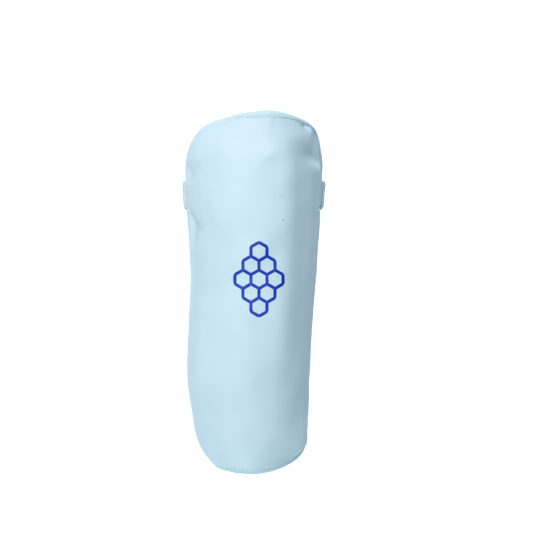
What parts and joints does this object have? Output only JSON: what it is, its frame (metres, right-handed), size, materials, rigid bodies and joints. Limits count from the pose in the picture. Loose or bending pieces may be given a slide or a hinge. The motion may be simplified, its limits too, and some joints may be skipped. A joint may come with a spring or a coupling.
{
  "type": "cricket arm guard",
  "caption": "Padded forearm guard: a smooth arched shell, wider at the elbow end, with elastic straps closed behind it.",
  "frame": {"origin": "middle of the guard's box in X and Y, on the surface that it lies on", "axes": "+X across the arm to the right seen from the face, +Y along the arm to the elbow end, +Z out of the face"},
  "size_m": [0.102, 0.2606, 0.0424],
  "materials": {
    "face_leather": "smooth pale blue coated leather over foam",
    "back_leather": "the same cover, matt, round the back",
    "elastic": "pale ribbed elastic webbing",
    "hook_tape": "pale hook-and-loop tape, closed"
  },
  "bodies": {
    "root": {"face_pad": "face_leather", "back_panel": "back_leather", "upper_strap": "elastic", "upper_strap_tab": "elastic", "upper_fastener": "hook_tape", "lower_strap": "elastic", "lower_strap_tab": "elastic", "lower_fastener": "hook_tape"}
  },
  "joints": []
}
